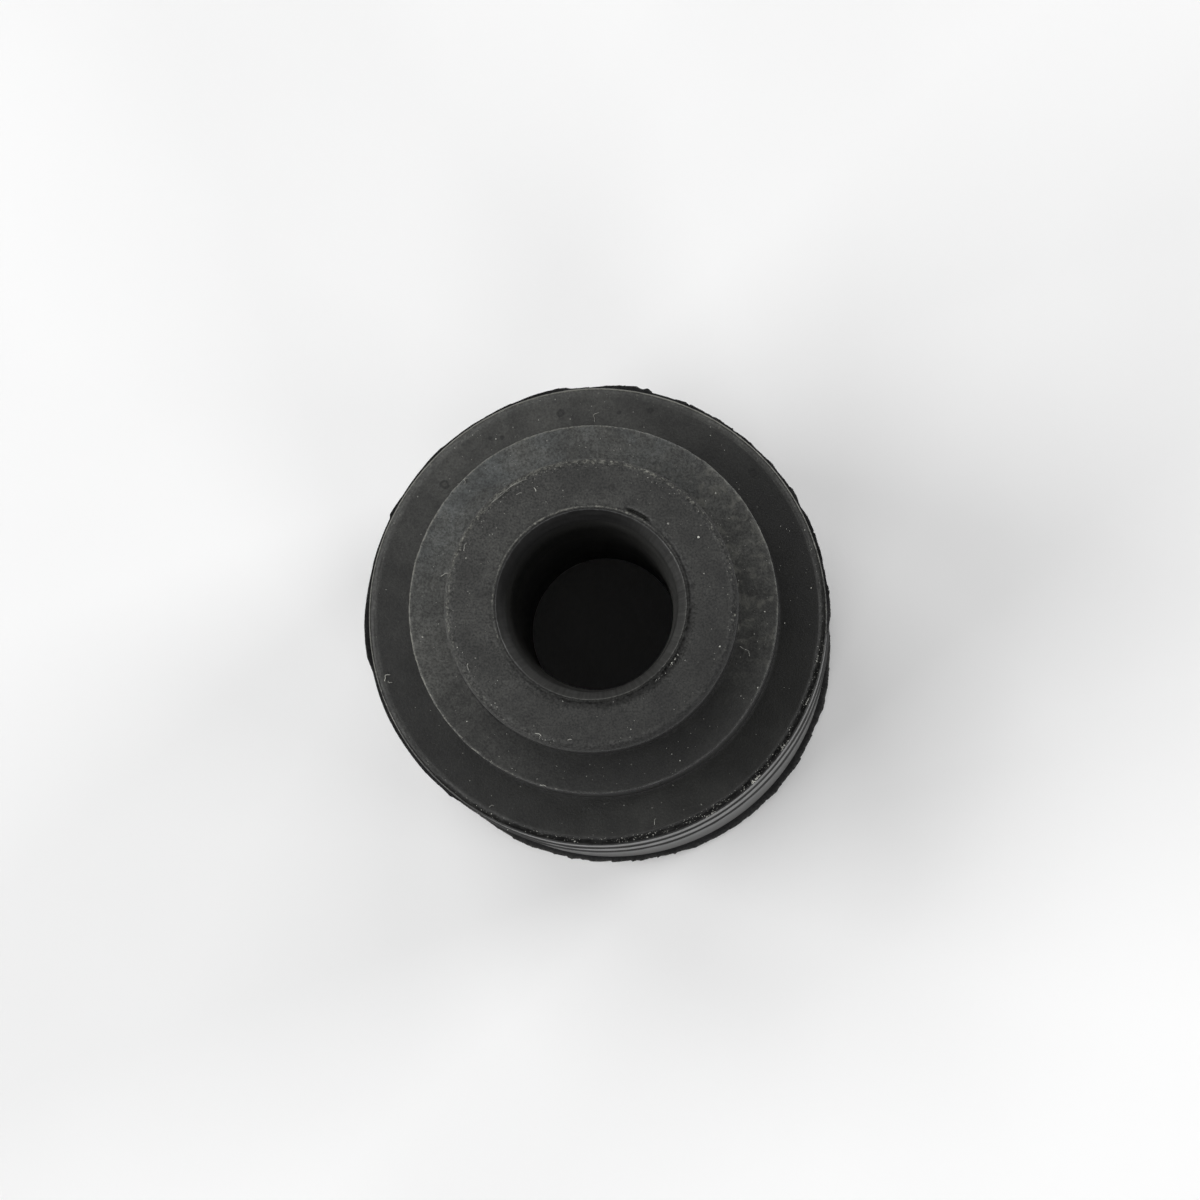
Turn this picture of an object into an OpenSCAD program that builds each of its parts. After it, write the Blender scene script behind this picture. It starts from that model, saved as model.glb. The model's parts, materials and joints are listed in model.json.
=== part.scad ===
// Stepped rubber grommet, moulded in one piece.
// The body carries the load, the step seats in a round panel hole, and a bolt or sleeve
// passes through the bore. The underside is hollowed to let the rubber flex.
// Millimetres. +Z is up, and the origin is the centre of the underside.

/* [Body] */
// Diameter of the body wall
body_d = 27; // [24:0.5:36]
// Height of the body, from the underside to its top face
body_h = 22.2; // [18:0.2:40]
// Radius of the edge round the underside
foot_edge_r = 0.2; // [0.1:0.05:0.8]
// Radius of the rolled edge round the top face
rim_edge_r = 0.4; // [0.2:0.05:0.9]

/* [Step] */
// Diameter of the step, which seats in a panel hole
step_d = 21.4; // [18:0.2:24]
// Height of the step above the top face of the body
step_h = 5; // [2:0.5:12]
// Radius of the sharp edge round the step
step_edge_r = 0.12; // [0.05:0.01:0.5]

/* [Boss] */
// Diameter of the boss
boss_d = 16.9; // [14:0.1:20]
// Height of the boss above the step
boss_h = 3.3; // [2:0.1:8]
// Radius of the worn edge round the boss
boss_edge_r = 0.8; // [0.3:0.05:1.5]

/* [Bore] */
// Diameter of the straight part of the bore
bore_d = 9; // [6:0.1:9.6]
// Diameter of the bore's mouth in the boss face
mouth_d = 11.3; // [10.2:0.1:13]
// Diameter where the mouth's bevel meets the long taper
throat_d = 9.9; // [9.2:0.1:11]
// Depth of the bevel at the mouth
bevel_h = 1.5; // [0.5:0.1:3]
// Height of the taper between the bevel and the straight bore
taper_h = 4.8; // [1:0.1:8]

/* [Underside] */
// Diameter of the hollow in the underside
hollow_d = 15; // [12:0.5:20]
// Depth of the hollow
hollow_h = 10.6; // [4:0.1:16]
// Radius of the fillet round the hollow's ceiling
ceiling_r = 1.2; // [0.4:0.1:2.4]

/* [Root fillets] */
// Radius of the fillet where the step and the boss rise
root_r = 0.25; // [0.1:0.05:0.8]

/* [Mould marks] */
// How far the upper witness ring lies below the body's top face
upper_ring_drop = 2.1; // [1:0.1:6]
// How far the lower witness ring lies below the body's top face
lower_ring_drop = 6.9; // [6.4:0.1:14]
// Radius of a witness ring's rounded section
ring_r = 0.15; // [0.08:0.01:0.3]
// How far a witness ring stands out of the wall
ring_proud = 0.1; // [0.03:0.01:0.14]
// Thickness of the flash left round the body's two edges
flash_t = 0.2; // [0.1:0.05:0.5]
// How far the flash stands out where it was trimmed well
flash_w = 0.06; // [0.02:0.01:0.3]
// Height of the ragged teeth along the flash
flash_grain = 0.04; // [0:0.01:0.2]
// Number of points round the flash
flash_points = 240; // [60:12:360]

/* [Wear] */
// Depth of the nick torn in the mouth's lip
nick_depth = 0.28; // [0.1:0.02:0.6]
// Width of the nick along the lip
nick_w = 0.9; // [0.3:0.1:2]
// Direction of the nick, round from +X
nick_angle = 56; // [0:1:359]

/* [Hidden] */
$fn = 180;
// Overshoot that lets a cut pass clean through a face
cut = 1;
step_z = body_h;
boss_z = step_z + step_h;
top_z = boss_z + boss_h;
throat_z = top_z - bevel_h;
bore_top_z = throat_z - taper_h;
// Each tear in the flash is its direction, half its width in degrees and how far it stands out
rim_tears = [
    [176, 7, 0.12],
    [190, 5, 0.26],
    [221, 14, 0.12],
    [157, 3, 0.09],
    [82, 4, 0.2],
    [50, 3, 0.05],
    [32, 3, 0.05],
    [6, 5, 0.08]
];
foot_tears = [
    [342, 8, 0.08],
    [318, 6, 0.1],
    [297, 9, 0.06],
    [262, 7, 0.08],
    [96, 8, 0.07],
    [185, 10, 0.09]
];

function turn_between(a, b) = abs((a - b + 540) % 360 - 180);
function tear_reach(a, tear) =
    turn_between(a, tear[0]) < tear[1] ? tear[2] * pow(cos(90 * turn_between(a, tear[0]) / tear[1]), 2) : 0;
function total(values, i = 0) = i < len(values) ? values[i] + total(values, i + 1) : 0;
function teeth(a) = flash_grain * (2 + sin(31 * a) + sin(47 * a + 50)) / 4;
function flash_reach(a, tears) = flash_w + teeth(a) + total([for (tear = tears) tear_reach(a, tear)]);

// One tier of the half section: a block with its top outer corner rounded.
module tier(radius, low_z, high_z, edge_r) {
    translate([0, low_z]) square([radius, high_z - low_z - edge_r]);
    translate([0, low_z]) square([radius - edge_r, high_z - low_z]);
    translate([radius - edge_r, high_z - edge_r]) circle(edge_r);
}

// The concave fillet at the root of a tier that stands on a face.
module root_fillet(radius, face_z) {
    translate([radius, face_z]) difference() {
        translate([-root_r, -root_r]) square(2 * root_r);
        translate([root_r, root_r]) circle(root_r);
    }
}

// A fine ridge round the wall, where two plates of the mould met.
module witness_ring(drop) {
    translate([body_d / 2 + ring_proud - ring_r, body_h - drop]) circle(ring_r, $fn = 24);
}

// Right half of the outside, on the XY plane, to be turned round Z.
module outer_section() {
    difference() {
        tier(body_d / 2, 0, body_h, rim_edge_r);
        translate([body_d / 2 - foot_edge_r, 0]) difference() {
            translate([0, -cut]) square([cut, foot_edge_r + cut]);
            translate([0, foot_edge_r]) circle(foot_edge_r);
        }
    }
    tier(step_d / 2, 0, boss_z, step_edge_r);
    tier(boss_d / 2, 0, top_z, boss_edge_r);
    root_fillet(step_d / 2, step_z);
    root_fillet(boss_d / 2, boss_z);
    witness_ring(upper_ring_drop);
    witness_ring(lower_ring_drop);
}

// Right half of the way through: bevelled mouth, long taper, straight bore.
module bore_section() {
    polygon([
        [0, -cut],
        [bore_d / 2, -cut],
        [bore_d / 2, bore_top_z],
        [throat_d / 2, throat_z],
        [mouth_d / 2, top_z],
        [mouth_d / 2, top_z + cut],
        [0, top_z + cut]
    ]);
}

// Right half of the hollow in the underside, with a filleted ceiling.
module hollow_section() {
    translate([0, -cut]) square([hollow_d / 2, hollow_h - ceiling_r + cut]);
    translate([0, -cut]) square([hollow_d / 2 - ceiling_r, hollow_h + cut]);
    translate([hollow_d / 2 - ceiling_r, hollow_h - ceiling_r]) circle(ceiling_r);
}

// A thin plate of flash with a torn outline, its upper face at top.
module flash(tears, top) {
    turns = [for (i = [0:flash_points - 1]) i * 360 / flash_points];
    translate([0, 0, top - flash_t]) linear_extrude(flash_t)
        polygon([for (a = turns) (body_d / 2 + flash_reach(a, tears)) * [cos(a), sin(a)]]);
}

// The bite torn out of the mouth's lip.
module lip_nick() {
    rotate([0, 0, nick_angle]) translate([mouth_d / 2, 0, top_z]) rotate([90, 0, 0])
        cylinder(h = nick_w, r = nick_depth, center = true, $fn = 24);
}

module grommet() {
    color("#2e2f2d") difference() {
        union() {
            rotate_extrude() outer_section();
            flash(rim_tears, body_h - rim_edge_r / 2);
            flash(foot_tears, foot_edge_r + flash_t);
        }
        rotate_extrude() bore_section();
        rotate_extrude() hollow_section();
        lip_nick();
    }
}

grommet();
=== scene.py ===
"""Stepped rubber grommet: the moulding, the dust and lint on it, and a plain pale stage."""

import json
import math

import bpy
import numpy as np
from bpy.props import FloatProperty, FloatVectorProperty, IntProperty, PointerProperty
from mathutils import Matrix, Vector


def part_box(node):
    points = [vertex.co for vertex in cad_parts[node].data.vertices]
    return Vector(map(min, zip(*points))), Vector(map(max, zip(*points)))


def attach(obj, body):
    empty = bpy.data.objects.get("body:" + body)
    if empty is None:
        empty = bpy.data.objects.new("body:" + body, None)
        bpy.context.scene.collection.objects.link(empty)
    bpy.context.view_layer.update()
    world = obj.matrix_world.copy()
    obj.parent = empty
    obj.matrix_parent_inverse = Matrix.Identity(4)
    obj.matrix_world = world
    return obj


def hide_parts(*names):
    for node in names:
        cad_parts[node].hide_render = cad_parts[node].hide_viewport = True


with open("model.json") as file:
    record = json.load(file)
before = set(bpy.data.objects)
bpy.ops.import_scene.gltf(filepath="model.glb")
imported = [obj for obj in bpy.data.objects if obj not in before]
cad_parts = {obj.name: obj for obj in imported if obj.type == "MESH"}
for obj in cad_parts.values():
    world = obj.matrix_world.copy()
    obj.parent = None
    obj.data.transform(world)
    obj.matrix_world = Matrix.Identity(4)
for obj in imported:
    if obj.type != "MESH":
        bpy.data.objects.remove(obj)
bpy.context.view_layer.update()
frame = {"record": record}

bl_info = {
    "name": "Rubber grommet",
    "version": (1, 0, 0),
    "blender": (4, 5, 0),
    "location": "View3D > Sidebar > Grommet",
    "description": "Builds a moulded rubber grommet with its wear, dust and stage",
    "category": "Add Mesh",
}

# Millimetres to metres. Shapes are worked out in millimetres and written in metres.
MM = 0.001

MOUNTS = {mount["name"]: mount for mount in frame["record"]["mounts"]}
BODY_HEIGHT = MOUNTS["panel_seat"]["pos_m"][2]
STEP_RADIUS = MOUNTS["panel_step"]["dims"]["r_mm"] * MM
BORE_RADIUS = MOUNTS["bore"]["dims"]["r_mm"] * MM
BORE_MIDDLE = MOUNTS["bore"]["pos_m"][2]
BORE_HALF = MOUNTS["bore"]["dims"]["length_mm"] * MM / 2
TOTAL_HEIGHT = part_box("grommet")[1].z

# Direction of the side where the rim is torn and its flash is cut closest, in degrees from +x to +y.
ROUGH_SIDE = -62


def length(name, description, default):
    """A size in metres that a user may change."""
    return FloatProperty(name=name, description=description, default=default, unit="LENGTH", precision=5)


def tint(name, description, default):
    """A linear colour that a user may change."""
    return FloatVectorProperty(
        name=name, description=description, default=default, size=3, min=0, max=1, subtype="COLOR"
    )


class MouldingSizes(bpy.types.PropertyGroup):
    """Sizes of the moulding as it left the mould."""

    body_radius: length("Body radius", "Radius of the body wall", 13.5 * MM)
    body_height: length("Body height", "Height of the body's top face", BODY_HEIGHT)
    foot_edge: length("Foot edge", "Radius of the edge round the underside", 0.2 * MM)
    step_radius: length("Step radius", "Radius of the step", STEP_RADIUS)
    step_height: length("Step height", "Height of the step above the body", 5.0 * MM)
    step_edge: length("Step edge", "Radius of the sharp edge round the step", 0.12 * MM)
    boss_radius: length("Boss radius", "Radius of the boss", 8.45 * MM)
    boss_edge: length("Boss edge", "Radius of the worn edge round the boss", 0.62 * MM)
    total_height: length("Total height", "Height of the boss face", TOTAL_HEIGHT)
    mouth_radius: length("Mouth radius", "Radius of the bore's mouth", 5.65 * MM)
    throat_radius: length("Throat radius", "Radius where the bevel meets the taper", 4.95 * MM)
    bevel_depth: length("Bevel depth", "Depth of the bevel at the mouth", 1.5 * MM)
    bore_radius: length("Bore radius", "Radius of the straight bore", BORE_RADIUS)
    bore_top: length("Bore top", "Height where the taper ends", BORE_MIDDLE + BORE_HALF)
    hollow_height: length("Hollow height", "Height of the hollow's ceiling", BORE_MIDDLE - BORE_HALF)
    hollow_radius: length("Hollow radius", "Radius of the hollow in the underside", 7.5 * MM)
    ceiling_fillet: length("Ceiling fillet", "Radius of the fillet round the ceiling", 1.2 * MM)
    root_fillet: length("Root fillet", "Radius of the fillet where a tier rises", 0.03 * MM)
    waist: length("Waist", "How far the wall draws in towards the foot", 0.2 * MM)
    turns: IntProperty(name="Turns", description="Points round the axis", default=970, min=180, max=970)


class MouldMarks(bpy.types.PropertyGroup):
    """Marks that the mould and the trimming left, and the wear since."""

    upper_ring: length("Upper ring", "Drop of the upper witness ring below the top face", 2.7 * MM)
    lower_ring: length("Lower ring", "Drop of the lower witness ring below the top face", 8.4 * MM)
    ring_proud: length("Ring height", "How far a witness ring stands out", 0.11 * MM)
    flash_reach: length("Flash reach", "How far the trimmed flash stands out", 0.085 * MM)
    flash_teeth: length("Flash teeth", "Depth of the torn teeth along the flash", 0.1 * MM)
    flash_thickness: length("Flash thickness", "Thickness of the flash at its root", 0.16 * MM)
    foot_thickness: length("Foot flash thickness", "Thickness of the flash round the foot", 0.5 * MM)
    flash_drop: length("Flash drop", "Depth of the rim flash below the top face", 0.3 * MM)
    roll_width: length("Roll width", "Width of the rolled edge inside the rim's ridge", 0.5 * MM)
    lip_height: length("Lip height", "Height of the raised lip round the mouth", 0.06 * MM)
    scuff_depth: length("Scuff depth", "Depth of the scuffs along the boss edge", 0.014 * MM)
    seed: IntProperty(name="Seed", description="Seed of every random draw", default=7, min=0)


class RubberLooks(bpy.types.PropertyGroup):
    """Colours of the rubber and of what lies on it."""

    face: tint("Face", "Rubber of the flat faces", (0.0262, 0.0264, 0.0243))
    wall: tint("Wall", "Rubber of the walls and the bore", (0.016, 0.016, 0.0153))
    torn: tint("Torn", "Torn rubber of the flash", (0.0052, 0.0052, 0.0058))
    # Part bluish bloom, part painted light: it lies only on the step's side towards the lamps.
    bloom_and_light: tint("Bloom", "Bluish bloom on the step", (0.0295, 0.0322, 0.0322))
    # Colour of the scuffs; on the edges facing the lamps it also paints highlights.
    worn: tint("Worn", "Scuffed rubber along the edges", (0.15, 0.149, 0.13))
    dust: tint("Dust", "Dust specks and lint", (0.46, 0.46, 0.42))


class StageSettings(bpy.types.PropertyGroup):
    """Floor, lamps and camera."""

    floor: tint("Floor", "Pale floor", (0.93, 0.93, 0.93))
    focal_length: FloatProperty(name="Focal length", description="Lens in millimetres", default=159.5)
    lamp_level: FloatProperty(name="Lamps", description="Level of all the lamps", default=0.73, min=0)
    sky_level: FloatProperty(name="Sky", description="Level of the even light all round", default=0.16, min=0)


# Shape

def straight(start, end, count):
    """Points on the line from start to end at equal steps, with the end left out."""
    share = np.arange(count)[:, None] / count
    return np.asarray(start, float) * (1 - share) + np.asarray(end, float) * share


def guarded(start, end, count, margin=0.12):
    """Points on a line as straight() gives them, but with one close to each end, so that the unevenness
    of an edge doesn't shade the whole face beside it."""
    start, end = np.asarray(start, float), np.asarray(end, float)
    near = margin / np.linalg.norm(end - start)
    share = np.concatenate([[0], np.linspace(near, 1 - near, count - 1)])[:, None]
    return start * (1 - share) + end * share


def arc(centre, radius, first, last, count):
    """Points on a circle from one angle to another, in degrees, with the last left out."""
    angle = np.radians(first + (last - first) * np.arange(count) / count)
    return np.column_stack([centre[0] + radius * np.cos(angle), centre[1] + radius * np.sin(angle)])


def periodic_noise(angle, rng, lowest, highest):
    """Smooth noise round the axis: whole waves from the lowest to the highest count per turn, each
    with a random phase and a height that falls with the root of its count, scaled to a spread of 1."""
    waves = np.arange(lowest, highest + 1)
    phase = rng.uniform(0, 2 * math.pi, waves.size)
    height = rng.uniform(0.5, 1, waves.size) / np.sqrt(waves)
    sum_of_waves = (height * np.sin(angle[:, None] * waves + phase)).sum(axis=1)
    return sum_of_waves / sum_of_waves.std()


def torn_line(angle, rng, corners):
    """A torn outline from 0 to 1: random corners round the axis joined by straight lines."""
    at = np.sort(rng.uniform(0, 2 * math.pi, corners))
    height = rng.uniform(0, 1, corners) ** 1.5
    return np.interp(angle, at, height, period=2 * math.pi)


def skin_noise(rng, shape, round_size, along_size):
    """Noise over the whole skin, one value a vertex: random draws blurred round the axis and along
    the section by a Gaussian, each size in grid steps, scaled to a spread of 1."""
    draws = rng.standard_normal(shape)
    wave_round = np.fft.fftfreq(shape[0])[:, None]
    wave_along = np.fft.fftfreq(shape[1])[None, :]
    blur = np.exp(-2 * math.pi ** 2 * ((wave_round * round_size) ** 2 + (wave_along * along_size) ** 2))
    field = np.fft.ifft2(np.fft.fft2(draws) * blur).real
    return field / field.std()


def flap(angle, centre, low_side, high_side):
    """A torn flap from 0 to 1: it rises from the low side, in degrees, and falls to the high side."""
    offset = (np.degrees(angle) - centre + 180) % 360 - 180
    return np.clip(np.minimum(1 + offset / low_side, 1 - offset / high_side), 0, 1)


def swung(angle, direction, mean, swing):
    """A value round the axis: a mean, plus a swing times the cosine of the angle from a direction in
    degrees."""
    return mean + swing * np.cos(angle - math.radians(direction))


def share_round(angle, direction, mean, swing):
    """A share round the axis: swung(), held between 0 and 1."""
    return np.clip(swung(angle, direction, mean, swing), 0, 1)


def turned(angle, radius, height):
    """Points of a grid of radii and heights, in millimetres, turned round the axis: the radius times the
    cosine and the sine of the angle, and the height. They come in metres, turn by turn."""
    grid = np.stack([radius * np.cos(angle)[:, None], radius * np.sin(angle)[:, None], height], axis=-1)
    return grid.reshape(-1, 3) * MM


# Each flap of flash is its direction, its two half widths in degrees and its reach in millimetres.
RIM_FLAPS = [
    (190, 22, 4, 0.16),
    (205, 25, 30, 0.12),
    (182, 14, 10, 0.05),
    (222, 6, 8, 0.05),
    (230.6, 2.5, 1, 0.07),
    (166, 10, 10, 0.04),
    (153.6, 6, 1, 0.11),
    (132.7, 0.8, 4, 0.03),
    (137, 8, 10, 0.05),
    (97.8, 1, 14, 0.09),
    (77.5, 1.2, 12, 0.16),
    (80.5, 1.2, 10, 0.05),
    (50, 3, 4, 0.05),
    (33, 4, 2, 0.05),
    (6, 7, 3, 0.06),
    (0, 6, 5, 0.13),
    (352, 5, 4, 0.07),
]
FOOT_FLAPS = [
    (344, 6, 9, 0.06),
    (328, 34, 22, 0.1),
    (318, 5, 3, 0.06),
    (303, 30, 18, 0.06),
    (299, 8, 3, 0.04),
    (262, 7, 6, 0.02),
    (243, 2.5, 4, 0.06),
    (96, 8, 8, 0.05),
    (185, 10, 6, 0.06),
]


def flash_outline(angle, rng, marks, flaps, ragged_side, calm, cut_side, cut):
    """How far a fin of flash stands out, in millimetres: a trimmed stub, torn teeth that are deepest
    on the ragged side and fall to the calm share on the other, and flaps. Where it was cut off clean,
    on the cut side, it falls to a little under the wall."""
    ragged = calm + (1 - calm) * share_round(angle, ragged_side, 0.5, 0.9)
    teeth = torn_line(angle, rng, 210) + 0.45 * torn_line(angle, rng, 620)
    reach = marks.flash_reach / MM + marks.flash_teeth / MM * ragged * teeth
    reach = reach + 0.01 * periodic_noise(angle, rng, 3, 24)
    for centre, low_side, high_side, extra in flaps:
        reach = reach + extra * flap(angle, centre, low_side, high_side)
    return np.clip(reach - cut * share_round(angle, cut_side, -1.2, 3), -0.015, None)


def flash_ring(name, sizes, thickness, root, level, outline, seed):
    """A closed ring of torn flash round the wall: a thin fin, rooted inside the wall, whose reach and
    level change round the axis and whose edge is thinner than its root. The outline is a function that
    gives the reach from the angle and the random draws."""
    rng = np.random.default_rng(seed)
    turns = 1600
    angle = 2 * math.pi * np.arange(turns) / turns
    reach = outline(angle, rng)
    # The fin's section, from its upper root round its edge to its lower root: the share of the reach,
    # how far a point is sunk into the wall, and the share of the half thickness.
    out_share = np.array([0, 0, 0.55, 0.85, 1, 1.0, 0.8, 0.5, 0])
    sunk = np.array([0.1, 0, 0, 0, 0, 0, 0, 0, 0.1])
    thick = np.array([1, 1, 0.75, 0.5, 0.2, -0.15, -0.45, -0.8, -1])
    radius = sizes.body_radius / MM - root + (root + reach[:, None]) * out_share - sunk
    droop = 0.03 * periodic_noise(angle, rng, 2, 40) * np.clip(reach / 0.15, 0, 1.5)
    curl = 0.012 * rng.standard_normal((turns, out_share.size)) * (out_share > 0)
    height = level + thickness / 2 * thick + droop[:, None] * out_share + curl
    faces = closed_grid_faces(turns, out_share.size)[:, ::-1]
    piece = mesh_from_arrays(name, turned(angle, radius, height), faces)
    write_attribute(piece, "worn", 0.14 * out_share ** 3 * np.ones((turns, 1)))
    return piece


def grommet_section(sizes, marks):
    """The closed section of the moulding in millimetres, as radius and height, walked from the foot
    up the wall, in over the tiers, down the bore and back along the underside.
    Returns the points and, for each named stretch, which points belong to it."""
    body, top = sizes.body_radius / MM, sizes.body_height / MM
    foot = sizes.foot_edge / MM
    step, step_top = sizes.step_radius / MM, top + sizes.step_height / MM
    step_edge = sizes.step_edge / MM
    boss, crown = sizes.boss_radius / MM, sizes.total_height / MM
    boss_edge = sizes.boss_edge / MM
    root = sizes.root_fillet / MM
    mouth, throat = sizes.mouth_radius / MM, sizes.throat_radius / MM
    throat_z = crown - sizes.bevel_depth / MM
    bore, bore_top = sizes.bore_radius / MM, sizes.bore_top / MM
    ceiling, hollow = sizes.hollow_height / MM, sizes.hollow_radius / MM
    fillet = sizes.ceiling_fillet / MM
    upper_ring, lower_ring = top - marks.upper_ring / MM, top - marks.lower_ring / MM
    ring_half = 0.21
    roll = marks.roll_width / MM
    ridge_drop, ridge_in, ridge_top = 0.15, 0.13, top - 0.08
    lip_out, lip_in, lip_foot = 0.42, 0.18, crown - 0.14
    stretches = [
        ("foot edge", arc((body - foot, foot), foot, -90, 0, 2)),
        ("low wall", guarded((body, foot), (body, lower_ring - ring_half), 4)),
        ("lower ring", straight((body, lower_ring - ring_half), (body, lower_ring + ring_half), 6)),
        ("mid wall", guarded((body, lower_ring + ring_half), (body, upper_ring - ring_half), 3)),
        ("upper ring", straight((body, upper_ring - ring_half), (body, upper_ring + ring_half), 6)),
        ("top wall", guarded((body, upper_ring + ring_half), (body, top - ridge_drop), 3)),
        ("ridge", straight((body, top - ridge_drop), (body - ridge_in, ridge_top), 6)),
        ("roll", straight((body - ridge_in, ridge_top), (body - roll, top), 8)),
        ("body face", guarded((body - roll, top), (step + root, top), 4)),
        ("step root", arc((step + root, top + root), root, 270, 180, 2)),
        ("step wall", guarded((step, top + root), (step, step_top - step_edge), 3)),
        ("step edge", arc((step - step_edge, step_top - step_edge), step_edge, 0, 90, 4)),
        ("step face", guarded((step - step_edge, step_top), (boss + root, step_top), 4)),
        ("boss root", arc((boss + root, step_top + root), root, 270, 180, 2)),
        ("boss wall", guarded((boss, step_top + root), (boss, crown - boss_edge), 3)),
        ("boss edge", arc((boss - boss_edge, crown - boss_edge), boss_edge, 0, 90, 8)),
        ("boss face", guarded((boss - boss_edge, crown), (mouth + lip_out, crown), 4)),
        ("lip", straight((mouth + lip_out, crown), (mouth - lip_in, lip_foot), 12)),
        ("bevel", guarded((mouth - lip_in, lip_foot), (throat, throat_z), 4)),
        ("taper", straight((throat, throat_z), (bore, bore_top), 3)),
        ("bore", straight((bore, bore_top), (bore, ceiling), 2)),
        ("ceiling", straight((bore, ceiling), (hollow - fillet, ceiling), 2)),
        ("ceiling fillet", arc((hollow - fillet, ceiling - fillet), fillet, 90, 0, 3)),
        ("hollow wall", straight((hollow, ceiling - fillet), (hollow, 0), 2)),
        ("underside", straight((hollow, 0), (body - foot, 0), 2)),
    ]
    points = np.vstack([points for _, points in stretches])
    # The waist: from a little below the rim down, the wall and what lies just inside it draw in with the
    # square of the depth.
    wall_depth, straight_depth = 0.45, 0.5
    drawn_in = np.clip((top - straight_depth - points[:, 1]) / top, 0, 1) ** 2
    points[:, 0] -= sizes.waist / MM * np.where(points[:, 0] > body - wall_depth, drawn_in, 0)
    names = np.repeat([name for name, _ in stretches], [len(points) for _, points in stretches])
    return points, {name: names == name for name, _ in stretches}


def hump(stretch):
    """Weights that rise from 0 to 1 and fall again over the points of a stretch: a squared sine."""
    count = stretch.sum()
    return np.sin(math.pi * np.arange(count) / count) ** 2


def rim_relief(height, on, tear, fine, rough):
    """Lifts the ridge at the rim and the roll inside it, and sinks the roll into a torn groove on the
    rough side. The weights are given point by point along each stretch."""
    ridge, roll = on["ridge"], on["roll"]
    ridge_crown = np.array([0, 0.3, 0.8, 1.0, 0.75, 0.3])
    uneven = 1 + 0.2 * fine[:, ridge] + 0.5 * rough * tear[:, ridge]
    height[:, ridge] += 0.04 * ridge_crown * uneven
    roll_crown = np.array([0, 0.25, 0.5, 0.65, 0.65, 0.5, 0.3, 0.12])
    bed = np.array([0.35, 0.7, 0.95, 1.0, 0.9, 0.65, 0.35, 0.1])
    height[:, roll] += 0.03 * (1 - rough) * roll_crown - 0.15 * rough * bed
    height[:, roll] += (0.004 * fine + 0.034 * rough * tear)[:, roll] * (bed + 0.1)


def edge_scuffs(radius, height, on, tear, fine, patches, depth):
    """Sinks scuffs into the boss edge, deepest along its middle and in patches, and makes the step edge
    a little uneven."""
    boss, step = on["boss edge"], on["step edge"]
    scuffs = (np.clip(tear[:, boss], 0, 2) + 0.5 * fine[:, boss]) * patches * (depth * hump(boss))
    radius[:, boss] -= scuffs
    height[:, boss] -= scuffs
    radius[:, step] += 0.008 * fine[:, step] + 0.006 * tear[:, step]


def mouth_relief(radius, height, on, angle, tear, fine, lip_height):
    """Gives the mouth of the bore its bead, which turns into a groove at the lower right, its uneven
    bevel, the nick at the upper right and the crack at the lower right."""
    lip, bevel = on["lip"], on["bevel"]
    bead = np.array([0, 0, 0, 0, 0, 0, 0, 0.25, 0.8, 1.0, 0.15, 0]) * lip_height
    groove = np.array([0, 0, 0, 0.1, 0.3, 0.6, 0.9, 1.0, 0.8, 0.4, 0.1, 0])
    low_right = share_round(angle, -55, 0.35, 0.85)[:, None]
    height[:, lip] += bead * (1 - low_right) * (1 + 0.15 * fine[:, lip])
    height[:, lip] -= 0.12 * groove * low_right * (1 + 0.2 * fine + 0.15 * tear)[:, lip]
    height[:, lip] += 0.004 * tear[:, lip]
    radius[:, bevel] += 0.012 * fine[:, bevel] * hump(bevel)
    nick = np.clip(2 * flap(angle, 62, 9, 9), 0, 1)[:, None]
    height[:, lip] -= 0.26 * nick * np.array([0, 0, 0.2, 0.7, 1.0, 0.8, 0.3, 0, 0, 0, 0, 0])
    crack = np.clip(2 * flap(angle, -37, 16, 13), 0, 1)[:, None]
    crack = crack * np.clip(0.8 + 0.4 * tear[:, lip], 0, 1.6)
    height[:, lip] -= 0.1 * crack * np.array([0.1, 0.4, 0.8, 1.0, 1.0, 0.9, 0.7, 0.4, 0.2, 0, 0, 0])


def grommet_skin(sizes, marks):
    """The whole skin as a grid, turn by turn: the angles, the radii and heights, and the stretches.
    Every point is the section's point turned round the axis, pushed out and up by the rings, chips and
    unevenness of the stretch that it lies on."""
    section, on = grommet_section(sizes, marks)
    rng = np.random.default_rng(marks.seed)
    angle = 2 * math.pi * np.arange(sizes.turns) / sizes.turns
    shape = (sizes.turns, len(section))
    radius = np.tile(section[:, 0], (sizes.turns, 1))
    height = np.tile(section[:, 1], (sizes.turns, 1))

    for name in ("upper ring", "lower ring"):
        proud = marks.ring_proud / MM * (1 + 0.06 * periodic_noise(angle, rng, 2, 60))
        radius[:, on[name]] += proud[:, None] * hump(on[name]) ** 1.5

    tear = skin_noise(rng, shape, 1.1, 0.8)
    fine = skin_noise(rng, shape, 2.6, 0.8)
    broad = skin_noise(rng, shape, 26, 6)
    patches = np.clip(0.5 + 0.7 * periodic_noise(angle, rng, 2, 14), 0, 1.6)[:, None]
    rough = (share_round(angle, ROUGH_SIDE, 0, 1.3) ** 1.5)[:, None]
    rim_relief(height, on, tear, fine, rough)
    edge_scuffs(radius, height, on, tear, fine, patches, marks.scuff_depth / MM)
    mouth_relief(radius, height, on, angle, tear, fine, marks.lip_height / MM)
    # Between foot and boss face, the distance from the axis is a little uneven.
    lowest, highest = 1, 30
    radius += 0.01 * broad * ((section[:, 1] > lowest) & (section[:, 1] < highest))
    return angle, radius, height, on


def closed_grid_faces(turns, stations):
    """Quads of a grid that closes both round the axis and round its section."""
    turn = np.arange(turns)[:, None]
    station = np.arange(stations)[None, :]
    next_turn, next_station = (turn + 1) % turns, (station + 1) % stations
    corners = [
        turn * stations + station,
        next_turn * stations + station,
        next_turn * stations + next_station,
        turn * stations + next_station,
    ]
    return np.stack(corners, axis=-1).reshape(-1, 4)


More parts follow.
